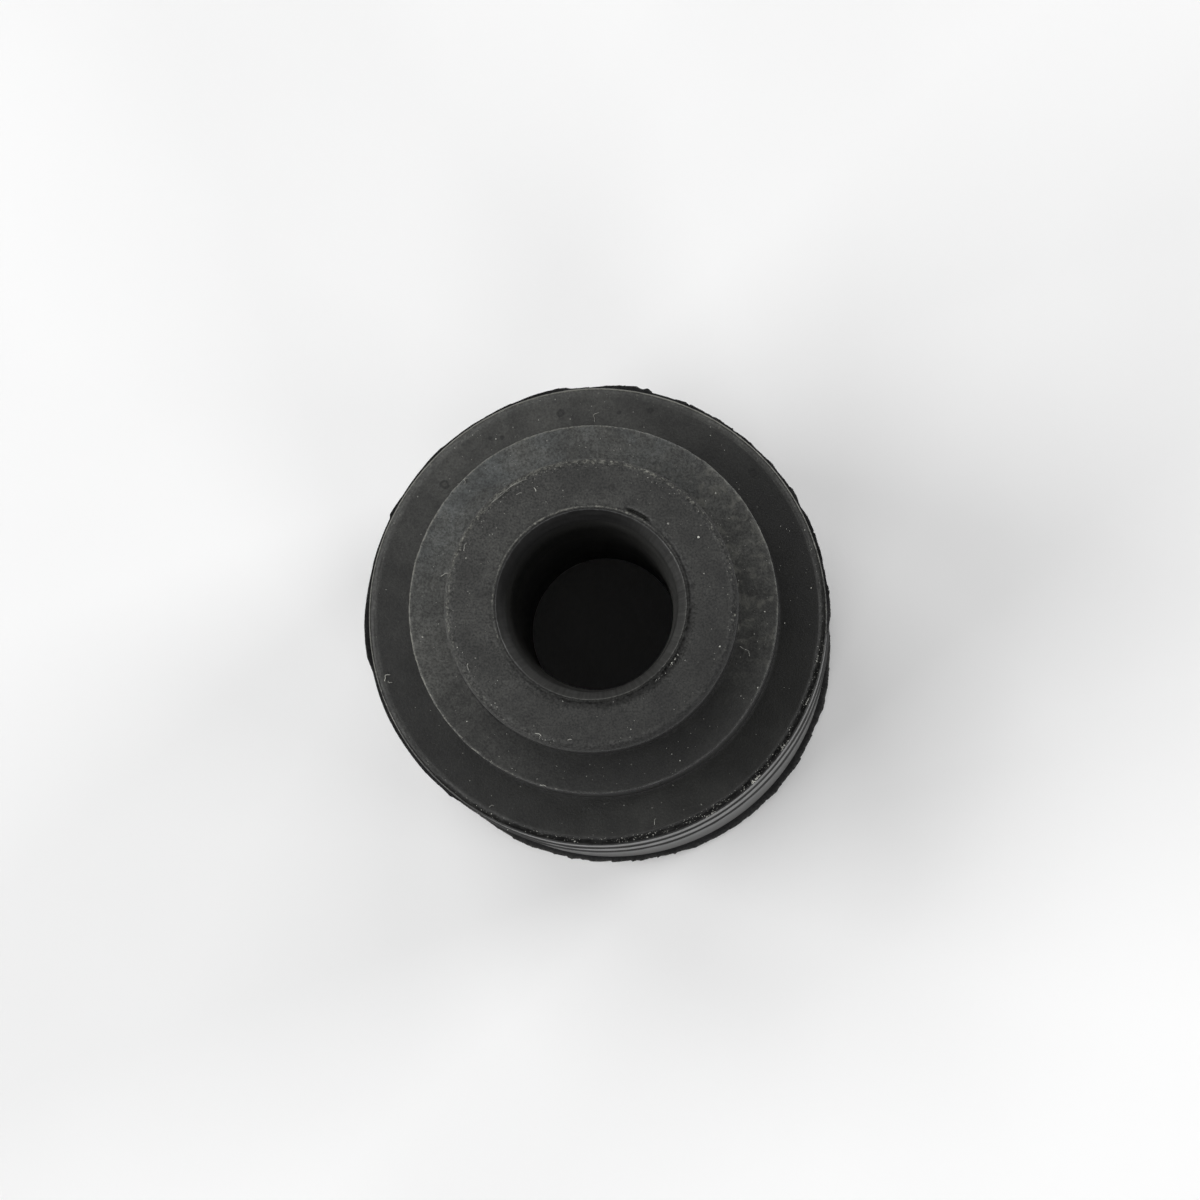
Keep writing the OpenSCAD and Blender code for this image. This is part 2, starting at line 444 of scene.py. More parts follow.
def mesh_from_arrays(name, points, faces):
    """A smooth-shaded mesh object from whole arrays of points, in metres, and faces."""
    mesh = bpy.data.meshes.new(name)
    corners = faces.shape[1]
    mesh.vertices.add(len(points))
    mesh.vertices.foreach_set("co", points.astype(np.float32).ravel())
    mesh.loops.add(faces.size)
    mesh.loops.foreach_set("vertex_index", faces.astype(np.int32).ravel())
    mesh.polygons.add(len(faces))
    mesh.polygons.foreach_set("loop_start", np.arange(0, faces.size, corners, dtype=np.int32))
    mesh.update(calc_edges=True)
    mesh.validate()
    mesh.shade_smooth()
    piece = bpy.data.objects.new(name, mesh)
    bpy.context.scene.collection.objects.link(piece)
    return piece


def write_attribute(piece, name, values):
    """Puts one value a vertex into a named attribute that the materials read."""
    attribute = piece.data.attributes.new(name, "FLOAT", "POINT")
    attribute.data.foreach_set("value", values.astype(np.float32).ravel())


# Materials

VECTOR, NUMBER = "NodeSocketVector", "NodeSocketFloat"


def feed(tree, node, inputs):
    """Gives a node's inputs values or links; returns the node."""
    for socket, value in inputs.items():
        if isinstance(value, bpy.types.NodeSocket):
            tree.links.new(value, node.inputs[socket])
        else:
            node.inputs[socket].default_value = value
    return node


def add_node(tree, kind, inputs=None, **settings):
    """Adds a node, sets its properties and feeds its inputs."""
    node = tree.nodes.new(kind)
    for name, value in settings.items():
        setattr(node, name, value)
    return feed(tree, node, inputs or {})


def maths(tree, operation, first, second=0.0):
    """One Math node; returns its value."""
    return add_node(tree, "ShaderNodeMath", {0: first, 1: second}, operation=operation).outputs[0]


def plus(tree, first, *others):
    """The sum of two or more values."""
    for other in others:
        first = maths(tree, "ADD", first, other)
    return first


def times(tree, first, *others):
    """The product of two or more values."""
    for other in others:
        first = maths(tree, "MULTIPLY", first, other)
    return first


def vector_maths(tree, operation, inputs):
    """One Vector Math node; returns its outputs."""
    return add_node(tree, "ShaderNodeVectorMath", inputs, operation=operation).outputs


def blend_colour(tree, share, low, high):
    """A Mix node for colours, from low to high; returns the mixed colour."""
    low, high = (end if isinstance(end, bpy.types.NodeSocket) else (*end, 1) for end in (low, high))
    return add_node(tree, "ShaderNodeMix", {"Factor": share, 6: low, 7: high}, data_type="RGBA").outputs[2]


def scaled_colour(tree, colour, share):
    """A colour, constant or linked, times a value."""
    return vector_maths(tree, "SCALE", {0: colour, "Scale": share})[0]


def ramp(tree, value, low, high, low_out=0.0, high_out=1.0):
    """Maps a value from one span to another, smoothly and clamped."""
    spans = {"Value": value, "From Min": low, "From Max": high, "To Min": low_out, "To Max": high_out}
    return add_node(tree, "ShaderNodeMapRange", spans, interpolation_type="SMOOTHSTEP").outputs["Result"]


def noise(tree, vector, scale, detail=3.0, roughness=0.55, distortion=0.0):
    """Noise from 0 to 1 over a position in millimetres, scale in features a millimetre."""
    inputs = {
        "Vector": vector, "Scale": scale, "Detail": detail, "Roughness": roughness, "Distortion": distortion
    }
    return add_node(tree, "ShaderNodeTexNoise", inputs, noise_dimensions="3D").outputs[0]


def attribute(tree, name):
    """Reads one of the piece's own attributes."""
    return add_node(tree, "ShaderNodeAttribute", attribute_name=name).outputs["Fac"]


def object_place(tree):
    """The piece's Object coordinates, in metres."""
    return add_node(tree, "ShaderNodeTexCoord").outputs["Object"]


def new_group(name, inputs, outputs):
    """A shader node group; returns the tree, its inputs and its output node. Each input goes by its name
    and default, which is None for a vector, and each output by its name and kind."""
    tree = bpy.data.node_groups.new(name, "ShaderNodeTree")
    for socket_name, default in inputs.items():
        kind = VECTOR if default is None else NUMBER
        socket = tree.interface.new_socket(socket_name, in_out="INPUT", socket_type=kind)
        if default is not None:
            socket.default_value = default
    for socket_name, kind in outputs.items():
        tree.interface.new_socket(socket_name, in_out="OUTPUT", socket_type=kind)
    return tree, tree.nodes.new("NodeGroupInput").outputs, tree.nodes.new("NodeGroupOutput")


def use_group(tree, name, inputs):
    """Places a node group in a material and returns its outputs."""
    return add_node(tree, "ShaderNodeGroup", inputs, node_tree=bpy.data.node_groups[name]).outputs


def place_group():
    """Place on the moulding: the position in millimetres, the height, and the spoke, which is the unit
    vector that points from the axis straight out to the position."""
    tree, given, leave = new_group(
        "Place on moulding", {"Object": None}, {"Position": VECTOR, "Height": NUMBER, "Spoke": VECTOR}
    )
    position = vector_maths(tree, "SCALE", {0: given["Object"], "Scale": 1 / MM})[0]
    parts = add_node(tree, "ShaderNodeSeparateXYZ", {0: position}).outputs
    flat = add_node(tree, "ShaderNodeCombineXYZ", {0: parts[0], 1: parts[1], 2: 0.0}).outputs[0]
    spoke = vector_maths(tree, "NORMALIZE", {0: flat})[0]
    feed(tree, leave, {"Position": position, "Height": parts[2], "Spoke": spoke})


def grain_group():
    """Fine moulded grain: a tone near 1 that darkens and lightens, and a height for the bump."""
    tree, given, leave = new_group(
        "Moulded grain",
        {"Position": None, "Fine": 5.0, "Mottle": 1.6, "Contrast": 0.3},
        {"Tone": NUMBER, "Height": NUMBER},
    )
    fine = noise(tree, given["Position"], given["Fine"], 4.0, 0.65)
    mottle = noise(tree, given["Position"], given["Mottle"], 3.0, 0.6, 0.4)
    both = plus(tree, times(tree, fine, 0.76), times(tree, mottle, 0.24))
    swing = times(tree, maths(tree, "SUBTRACT", both, 0.5), given["Contrast"], 4.0)
    feed(tree, leave, {"Tone": maths(tree, "MAXIMUM", plus(tree, swing, 1.0), 0.2), "Height": fine})


def speck_group():
    """Dust specks: small round dots at random places, more of them as the amount rises."""
    tree, given, leave = new_group(
        "Dust specks", {"Position": None, "Spacing": 1.4, "Size": 0.05, "Amount": 0.3}, {"Mask": NUMBER}
    )
    spread = {"Vector": given["Position"], "Scale": given["Spacing"], "Randomness": 1.0}
    cells = add_node(tree, "ShaderNodeTexVoronoi", spread).outputs
    distance = maths(tree, "DIVIDE", cells["Distance"], given["Spacing"])
    picks = add_node(tree, "ShaderNodeSeparateColor", {0: cells["Color"]}).outputs
    size = times(tree, given["Size"], plus(tree, picks[1], 0.4))
    dot = ramp(tree, maths(tree, "DIVIDE", distance, size), 0.6, 1.0, 1.0, 0.0)
    chosen = maths(tree, "LESS_THAN", picks[0], given["Amount"])
    strength = plus(tree, times(tree, picks[2], 0.8), 0.2)
    feed(tree, leave, {"Mask": times(tree, dot, chosen, strength)})


def drop_group():
    """A dried drop at a place on a face: a dark ring, bent by the wobble, round a faint dark middle."""
    tree, given, leave = new_group(
        "Dried drop",
        {"Position": None, "Centre": None, "Radius": 0.35, "Width": 0.12, "Wobble": 0.5},
        {"Mask": NUMBER},
    )
    offset = vector_maths(tree, "SUBTRACT", {0: given["Position"], 1: given["Centre"]})[0]
    distance = vector_maths(tree, "LENGTH", {0: offset})["Value"]
    bent = plus(tree, distance, times(tree, given["Wobble"], 0.22))
    away = maths(tree, "ABSOLUTE", maths(tree, "SUBTRACT", bent, plus(tree, given["Radius"], 0.11)))
    ring = ramp(tree, maths(tree, "DIVIDE", away, given["Width"]), 0.2, 1.0, 1.0, 0.0)
    middle = ramp(tree, distance, 0.0, given["Radius"], 0.35, 0.0)
    feed(tree, leave, {"Mask": maths(tree, "MAXIMUM", ring, middle)})


def specks(tree, position, spacing, size, amount):
    """Places the dust specks and returns their mask."""
    inputs = {"Position": position, "Spacing": spacing, "Size": size, "Amount": amount}
    return use_group(tree, "Dust specks", inputs)["Mask"]


def grain_of(tree, position, fine, mottle, contrast):
    """Places the moulded grain and returns its outputs."""
    inputs = {"Position": position, "Fine": fine, "Mottle": mottle, "Contrast": contrast}
    return use_group(tree, "Moulded grain", inputs)


def facing(tree, spoke, direction):
    """How far a spoke points in a direction: the cosine of the angle between them."""
    return vector_maths(tree, "DOT_PRODUCT", {0: spoke, 1: direction})["Value"]


def new_material(name, roughness):
    """A material of constant roughness; returns it, its tree and its Principled shader."""
    material = bpy.data.materials.new(name)
    material.use_nodes = True
    tree = material.node_tree
    return material, tree, feed(tree, tree.nodes["Principled BSDF"], {"Roughness": roughness})


def rubber_material(name, colour, roughness, bump_distance):
    """A plain rubber material; returns it, its tree, its shader, its bump and its place on the moulding."""
    material, tree, shader = new_material(name, roughness)
    bump = add_node(tree, "ShaderNodeBump", {"Strength": 1.0, "Distance": bump_distance})
    feed(tree, shader, {"Base Color": (*colour, 1), "IOR": 1.5, "Normal": bump.outputs[0]})
    return material, tree, shader, bump, use_group(tree, "Place on moulding", {"Object": object_place(tree)})


# Dried drops: face, direction in degrees, distance from the axis and radius of the ring in millimetres.
DROPS = [
    ("body", 100.3, 12.2, 0.15),
    ("body", 75.5, 12.55, 0.1),
    ("body", 139.1, 11.95, 0.2),
    ("body", 42.7, 12.45, 0.18),
    ("body", 118, 12.0, 0.08),
    ("body", 84, 12.1, 0.05),
    ("body", 121, 12.3, 0.04),
    ("boss", 157.4, 6.64, 0.03),
]


def drops_mask(tree, position, sizes):
    """Mask of all the dried drops."""
    level = face_heights(sizes)
    wobble = noise(tree, position, 2.0, 2.0)
    drops = None
    for face, direction, distance, radius in DROPS:
        turn = math.radians(direction)
        centre = (distance * math.cos(turn), distance * math.sin(turn), level[face])
        inputs = {"Position": position, "Centre": centre, "Radius": radius, "Wobble": wobble}
        mask = use_group(tree, "Dried drop", inputs)["Mask"]
        drops = mask if drops is None else maths(tree, "MAXIMUM", drops, mask)
    return drops


def tier_masks(tree, height, sizes):
    """Masks of the body's face and of the step's face, told by the height in millimetres."""
    above_body = sizes.body_height / MM + 1.0
    above_step = (sizes.body_height + sizes.step_height) / MM + 0.6
    blur = 0.2
    on_body = ramp(tree, height, above_body, above_body + blur, 1.0, 0.0)
    on_boss = ramp(tree, height, above_step, above_step + blur)
    return on_body, maths(tree, "SUBTRACT", 1.0, maths(tree, "MAXIMUM", on_body, on_boss))


def face_tone(tree, position, grain, bloom_and_light, on_body, on_step, sizes):
    """Tone of the faces: the grain, calmer on the body, on the step and under the bloom and its painted
    light, darkened by drops and spots, changed in broad patches, times the painted light and shade."""
    spots = specks(tree, position, spacing=0.75, size=0.14, amount=0.3)
    dark = plus(tree, times(tree, drops_mask(tree, position, sizes), 0.75), times(tree, spots, 0.45))
    clean = maths(tree, "MAXIMUM", maths(tree, "SUBTRACT", 1.0, dark), 0.35)
    patchy = ramp(tree, noise(tree, position, 0.5, 3.0, 0.55, 0.5), 0.25, 0.75, 0.68, 1.32)
    by_tier = plus(tree, times(tree, on_body, 0.5), times(tree, on_step, 0.28))
    calm = maths(tree, "MAXIMUM", times(tree, bloom_and_light, 0.5), by_tier)
    calmed = plus(tree, grain, times(tree, maths(tree, "SUBTRACT", 1.0, grain), calm))
    body_share = ramp(tree, on_body, 0.0, 1.0, 1.0, 0.86)
    # The tone attribute brings painted light and shade.
    return times(tree, calmed, clean, patchy, attribute(tree, "tone"), body_share)


def scuffed_and_lit_colour(tree, position, spoke, on_step, toned, looks):
    """The toned colour with scuffs and painted highlights along the worn edges, a rubbed patch at the right
    of the step and pale flecks."""
    # The worn attribute holds wear and painted highlight: pale scuffs strongest on the edges facing the
    # lamps.
    worn = attribute(tree, "worn")
    scratchy = noise(tree, position, 4.5, 5.0, 0.7, 0.8)
    bare = plus(tree, maths(tree, "SUBTRACT", scratchy, 0.72), times(tree, worn, 0.5))
    scuffs = times(tree, ramp(tree, bare, -0.02, 0.16), ramp(tree, worn, 0.02, 0.3), 0.8)
    colour = blend_colour(tree, scuffs, toned, looks.worn)
    right_side = ramp(tree, facing(tree, spoke, (0.93, 0.37, 0)), 0.55, 0.95)
    cloud = ramp(tree, noise(tree, position, 1.4, 4.0, 0.65, 0.5), 0.48, 0.68)
    colour = blend_colour(tree, times(tree, right_side, on_step, cloud, 0.42), colour, looks.worn)
    flecks = specks(tree, position, spacing=3.4, size=0.075, amount=0.4)
    flecks = times(tree, flecks, ramp(tree, worn, 0.08, 0.4), 0.75)
    return blend_colour(tree, flecks, colour, [c * 1.5 for c in looks.worn])


def face_material(looks, sizes):
    """Flat faces and their edges: mottled grain, bluish bloom with painted light on the step's lit side,
    dried drops, dark spots, scuffs and painted highlights along the edges, painted light and shade, and dust."""
    material, tree, shader, bump, where = rubber_material("face_rubber", looks.face, 0.6, 0.02 * MM)
    position, spoke = where["Position"], where["Spoke"]
    grain = grain_of(tree, position, fine=8.0, mottle=2.6, contrast=1.5)
    on_body, on_step = tier_masks(tree, where["Height"], sizes)
    # The bloom is kept to the upper side, which faces the lamps, so there it is also painted light.
    upper_side = ramp(tree, facing(tree, spoke, (-0.35, 0.94, 0)), 0.1, 0.9)
    cloud = ramp(tree, noise(tree, position, 0.28, 4.0, 0.65, 0.6), 0.3, 0.72)
    bloom_and_light = times(tree, cloud, upper_side, on_step)
    tone = face_tone(tree, position, grain["Tone"], bloom_and_light, on_body, on_step, sizes)
    toned = scaled_colour(tree, blend_colour(tree, bloom_and_light, looks.face, looks.bloom_and_light), tone)
    scuffed = scuffed_and_lit_colour(tree, position, spoke, on_step, toned, looks)
    dust = specks(tree, position, spacing=2.4, size=0.035, amount=0.2)
    dusty = blend_colour(tree, dust, scuffed, looks.dust)
    grainy = ramp(tree, grain["Tone"], 0.6, 1.4, 0.68, 0.52)
    smoother = ramp(tree, on_body, 0.0, 1.0, 0.0, -0.1)
    rough = plus(tree, grainy, smoother, times(tree, attribute(tree, "matte"), 0.4))
    feed(tree, shader, {"Base Color": dusty, "Roughness": maths(tree, "MINIMUM", rough, 1.0)})
    feed(tree, bump, {"Height": grain["Height"]})
    return material


def wall_material(looks):
    """Walls and bore: smoother rubber with marks drawn round the axis, radial grain in the funnel, and
    painted light and shade.
    """
    material, tree, shader, bump, where = rubber_material("wall_rubber", looks.wall, 0.4, 0.01 * MM)
    position = where["Position"]
    stretched = vector_maths(tree, "MULTIPLY", {0: position, 1: (0.25, 0.25, 2.2)})[0]
    streaks = noise(tree, stretched, 1.5, 3.0, 0.6)
    grain = grain_of(tree, position, fine=5.0, mottle=1.6, contrast=0.2)
    fan = vector_maths(tree, "SCALE", {0: where["Spoke"], "Scale": 16.0})[0]
    radial = ramp(tree, noise(tree, fan, 3.0, 2.0, 0.6), 0.3, 0.7, 0.75, 1.3)
    fluted = plus(tree, times(tree, maths(tree, "SUBTRACT", radial, 1.0), attribute(tree, "funnel")), 1.0)
    streaked = ramp(tree, streaks, 0.3, 0.7, 0.9, 1.1)
    # The tone attribute brings painted shade on the walls and rings, and painted light in the bevel, taper
    # and bore.
    tone = times(tree, grain["Tone"], streaked, fluted, attribute(tree, "tone"))
    toned = scaled_colour(tree, tuple(looks.wall), tone)
    dust = specks(tree, position, spacing=2.2, size=0.035, amount=0.1)
    dusty = blend_colour(tree, dust, toned, looks.dust)
    smooth = ramp(tree, streaks, 0.3, 0.7, 0.35, 0.43)
    rough = plus(tree, smooth, times(tree, attribute(tree, "matte"), 0.55))
    feed(tree, shader, {"Base Color": dusty, "Roughness": rough})
    feed(tree, bump, {"Height": grain["Height"]})
    return material


def torn_material(looks):
    """Flash: coarse torn grain with scuffed edges and specks of dust."""
    material, tree, shader, bump, where = rubber_material("torn_rubber", looks.torn, 0.5, 0.04 * MM)
    position = where["Position"]
    grain = grain_of(tree, position, fine=7.0, mottle=2.6, contrast=0.5)
    toned = scaled_colour(tree, tuple(looks.torn), grain["Tone"])
    worn = times(tree, attribute(tree, "worn"), ramp(tree, grain["Height"], 0.4, 0.62, 0.2, 1.0))
    scuffed = blend_colour(tree, worn, toned, looks.worn)
    dust = specks(tree, position, spacing=2.6, size=0.04, amount=0.12)
    dusty = blend_colour(tree, dust, scuffed, looks.dust)
    rough = ramp(tree, grain["Tone"], 0.6, 1.4, 0.95, 0.78)
    feed(tree, shader, {"Base Color": dusty, "Roughness": rough, "Specular IOR Level": 0.25})
    feed(tree, bump, {"Height": grain["Height"]})
    return material


def dust_material(colour):
    """Pale matte dust whose tone changes from grain to grain."""
    material, tree, shader = new_material("pale_dust", 0.8)
    where = use_group(tree, "Place on moulding", {"Object": object_place(tree)})
    shade = ramp(tree, noise(tree, where["Position"], 1.3, 2.0, 0.6), 0.35, 0.65)
    feed(tree, shader, {"Base Color": blend_colour(tree, shade, [c * 0.35 for c in colour], colour)})
    return material


# Stretches of the section that get the face material. The others get the wall material.
FACES = ("ridge", "roll", "body face", "step root", "step face", "boss root", "boss face", "step edge",
         "boss edge", "lip")
# Wear and painted highlight of each edge, strongest towards the lamps: stretch, strength, direction where
# it is strongest in degrees, swing round the axis.
WEAR_AND_HIGHLIGHT = [
    ("ridge", 0.62, 110, 0.9),
    ("roll", 0.16, 110, 0.6),
    ("step edge", 0.41, 145, 0.6),
    ("boss edge", 0.225, 110, 0.5),
    ("lip", 0.3, 120, 1.0),
]
# How dull an edge is: stretch, share, then the swing round the axis and direction of its dullest part.
DULL = [
    ("boss edge", 1.0, 0, 0),
    ("step edge", 0.6, 0, 0),
    ("roll", 0.38, 0.4, ROUGH_SIDE),
    ("ridge", 0.35, 0.45, ROUGH_SIDE),
    ("lip", 0.4, 0.3, ROUGH_SIDE),
    ("upper ring", 0.9, 0, 0),
    ("lower ring", 0.9, 0, 0),
    ("step root", 0.8, 0, 0),
    ("boss root", 0.8, 0, 0),
    ("low wall", 0.7, 0, 0),
    ("bevel", 0.2, 0, 0),
]
# Painted light and shade: stretches, mean tone, swing round the axis and direction of its lightest part,
# then the swing and direction of a second, two-sided change. The lightest parts face the lamps; the
# roots, walls and rings get painted shade, the bevel, taper and bore painted light.
PAINTED_LIGHT = [
    (("boss face", "lip"), 0.83, 0.2, 145, 0, 0),
    (("boss edge",), 0.8, 0.2, 150, 0, 0),
    (("step face", "step edge"), 1.36, 0.95, 122, 0.2, 0),
    (("roll",), 1.0, 0.85, 118, 0, 0),
    (("ridge",), 1.0, 0.85, 112, 0, 0),
    (("body face",), 0.95, 0.48, 114, 0.36, -67),
    (("step root", "boss root"), 0.3, 0.15, 110, 0, 0),
    (("step wall", "boss wall"), 0.3, 0.2, 130, 0, 0),
    (("upper ring", "lower ring"), 0.2, 0, 0, 0, 0),
    (("bevel",), 1.35, 1.75, -55, 0, 0),
    (("taper",), 1.2, 0.5, -40, 0, 0),
    (("bore",), 4.0, 0.4, 180, 0, 0),
]


def edge_wear_and_highlight(angle, on, shape):
    """How worn and how lit each point is, from 0 to 1: the wear and painted highlight of its edge round the
    axis, times a weight for each point along the edge."""
    worn = np.zeros(shape)
    for name, strength, direction, swing in WEAR_AND_HIGHLIGHT:
        worn[:, on[name]] = (strength * swung(angle, direction, 1, swing))[:, None]
    worn[:, on["boss edge"]] *= 0.4 + 1.2 * hump(on["boss edge"])
    worn[:, on["ridge"]] *= [0.2, 0.5, 1.0, 1.0, 0.6, 0.3]
    worn[:, on["lip"]] *= [0, 0, 0, 0, 0, 0, 0, 0.3, 0.9, 1.0, 0.4, 0.1]
    return np.clip(worn, 0, 1)


def dullness(angle, on, shape):
    """How dull each point is, from 0 to 1: the share of its stretch round the axis, times a weight for
    each point along it. The last points of the lip are dull all round."""
    dull = np.zeros(shape)
    for name, share, swing, direction in DULL:
        dull[:, on[name]] = share_round(angle, direction, share, swing)[:, None]
    dull[:, on["lip"]] = np.maximum(dull[:, on["lip"]], [0] * 10 + [0.8, 1.0])
    dull[:, on["low wall"]] *= [1, 1, 0.6, 0.1]
    dull[:, on["boss edge"]] *= [1, 1, 1, 1, 0.9, 0.7, 0.4, 0.2]
    return dull


def painted_light(angle, on, shape):
    """Painted light and shade on each point: the tone of its stretch round the axis, times a weight for
    each point along the boss edge, which differs on its lit side, the taper and the lip. The lip gets
    painted shade at the lower right, and the body face painted shadow at the right."""
    tone = np.ones(shape)
    for names, mean, swing, direction, double, across in PAINTED_LIGHT:
        share = swung(angle, direction, mean, swing) + double * np.cos(2 * (angle - math.radians(across)))
        for name in names:
            tone[:, on[name]] = np.clip(share, 0.1, None)[:, None]
    # Painted highlight on the boss edge's lit side, painted shade on its far side.
    lit = share_round(angle, 140, 0.5, 0.7)[:, None]
    tone[:, on["boss edge"]] *= (
        np.array([1, 1.05, 1.15, 1.25, 1.3, 1.2, 1.1, 1.05]) * lit
        + np.array([0.3, 0.3, 0.3, 0.3, 0.35, 0.5, 0.9, 1.2]) * (1 - lit)
    )
    # Painted light down the taper, painted shade round the foot of the lip and at its lower right, and
    # painted shadow on the body face at the right.
    tone[:, on["taper"]] *= [1, 2.4, 4.2]
    tone[:, on["lip"]] *= [1, 1, 1, 1, 1, 1, 1, 0.85, 0.8, 0.9, 0.55, 0.35]
    near = share_round(angle, -40, 0.35, 0.85)[:, None]
    tone[:, on["lip"]] *= 1 - 0.55 * near * np.array([0, 0.2, 0.5, 0.8, 1, 1, 1, 0.7, 0.3, 0, 0, 0])
    tone[:, on["body face"]] *= 1 - 0.4 * share_round(angle, 36, 0, 1)[:, None] ** 5
    return tone


class GROMMET_OT_moulding(bpy.types.Operator):
    """Builds the rubber moulding with its rings, worn edges, lip and nick"""

    bl_idname = "grommet.moulding"
    bl_label = "Rubber moulding"

    def execute(self, context):
        scene = context.scene
        sizes, looks = scene.grommet_sizes, scene.grommet_looks
        angle, radius, height, on = grommet_skin(sizes, scene.grommet_marks)
        shape = radius.shape
        turns, stations = shape
        faces = closed_grid_faces(turns, stations)
        piece = mesh_from_arrays("rubber_moulding", turned(angle, radius, height), faces)

        funnel = np.zeros(shape)
        funnel[:, on["bevel"]] = 1
        funnel[:, on["taper"]] = 0.3
        # The worn attribute is edge wear together with painted highlights on the lit side.
        write_attribute(piece, "worn", edge_wear_and_highlight(angle, on, shape))
        # The tone attribute holds the painted light and shade.
        write_attribute(piece, "tone", painted_light(angle, on, shape))
        write_attribute(piece, "funnel", funnel)
        write_attribute(piece, "matte", dullness(angle, on, shape))

        for make_group in (place_group, grain_group, speck_group, drop_group):
            make_group()
        for material in (face_material(looks, sizes), wall_material(looks)):
            piece.data.materials.append(material)
        material_of = np.ones(stations, int)
        for name in FACES:
            material_of[on[name]] = 0
        piece.data.polygons.foreach_set("material_index", np.tile(material_of, turns).astype(np.int32))
        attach(piece, "root")
        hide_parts("grommet")
        return {"FINISHED"}


class GROMMET_OT_flash(bpy.types.Operator):
    """Builds the torn flash round the rim and round the foot"""

    bl_idname = "grommet.flash"
    bl_label = "Torn flash"

    def execute(self, context):
        scene = context.scene
        sizes, marks = scene.grommet_sizes, scene.grommet_marks
        rim_level = (sizes.body_height - marks.flash_drop) / MM
        thin, thick = marks.flash_thickness / MM, marks.foot_thickness / MM

        def rim_outline(angle, rng):
            return flash_outline(
                angle, rng, marks, RIM_FLAPS, ragged_side=15, calm=0.15, cut_side=ROUGH_SIDE, cut=0.3
            )

        def foot_outline(angle, rng):
            return flash_outline(
                angle, rng, marks, FOOT_FLAPS, ragged_side=260, calm=0.6, cut_side=0, cut=0
            )

        rim_root, foot_root, foot_level = 0.03, 0.26, thick * 0.56
        rings = (
            flash_ring("rim_flash", sizes, thin, rim_root, rim_level, rim_outline, marks.seed + 1),
            flash_ring("foot_flash", sizes, thick, foot_root, foot_level, foot_outline, marks.seed + 2),
        )
        material = torn_material(scene.grommet_looks)
        for ring in rings:
            ring.data.materials.append(material)
            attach(ring, "root")
            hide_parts("grommet")
        return {"FINISHED"}


def capped_rings(rings):
    """Closes rings of points into solids. The rings come as solid, level, corner and place, and each
    solid gets a point in the middle of its first and of its last ring, with a fan of triangles to it.
    Returns the points and the triangles, which point outwards where the corners run
    counterclockwise seen from the last ring."""
    solids, levels, sides = rings.shape[:3]
    poles = rings[:, [0, -1]].mean(axis=2)
    points = np.concatenate([rings.reshape(solids, -1, 3), poles], axis=1)
    level = np.arange(levels - 1)[:, None] * sides
    corner = np.arange(sides)
    after = (corner + 1) % sides
    low, low_after = level + corner, level + after
    first, last = levels * sides, levels * sides + 1
    end = (levels - 1) * sides
    triangles = np.concatenate([
        np.stack([low, low_after, low_after + sides], axis=-1).reshape(-1, 3),
        np.stack([low, low_after + sides, low + sides], axis=-1).reshape(-1, 3),
        np.stack([np.full(sides, first), after, corner], axis=-1),
        np.stack([np.full(sides, last), end + corner, end + after], axis=-1),
    ])
    step = points.shape[1] * np.arange(solids)[:, None, None]
    return points.reshape(-1, 3), (triangles + step).reshape(-1, 3)


def tube(path, radius, sides=6):
    """Rings of a thin tube along a path of points, each square to the path, that shrink at both ends."""
    along = np.gradient(path, axis=0)
    along /= np.linalg.norm(along, axis=1, keepdims=True)
    side = np.cross(along, (0.13, 0.21, 1.0))
    side /= np.linalg.norm(side, axis=1, keepdims=True)
    up = np.cross(along, side)
    turn = 2 * math.pi * np.arange(sides) / sides
    thin = radius * np.clip(6 * np.sin(math.pi * np.linspace(0.01, 0.99, len(path))), 0, 1)
    return path[:, None] + thin[:, None, None] * (
        side[:, None] * np.cos(turn)[None, :, None] + up[:, None] * np.sin(turn)[None, :, None]
    )


def laid(place, direction, along, across):
    """The x and y of points that lie so far along and across a direction, in degrees, from a place."""
    turn = math.radians(direction)
    return (
        place[0] + along * math.cos(turn) - across * math.sin(turn),
        place[1] + along * math.sin(turn) + across * math.cos(turn),
    )


def fibre_path(centre, span, direction, bend, count=24):
    """A curled fibre: a parabola through its centre, so long, turned to its direction in degrees,
    that rises a little off the surface in its middle."""
    share = np.linspace(-1, 1, count)
    across = bend * (1 - share ** 2) + 0.25 * bend * np.sin(math.pi * 1.5 * share)
    lift = 0.02 + 0.05 * (1 - share ** 2)
    return np.column_stack([*laid(centre, direction, share * span / 2, across), centre[2] + lift])


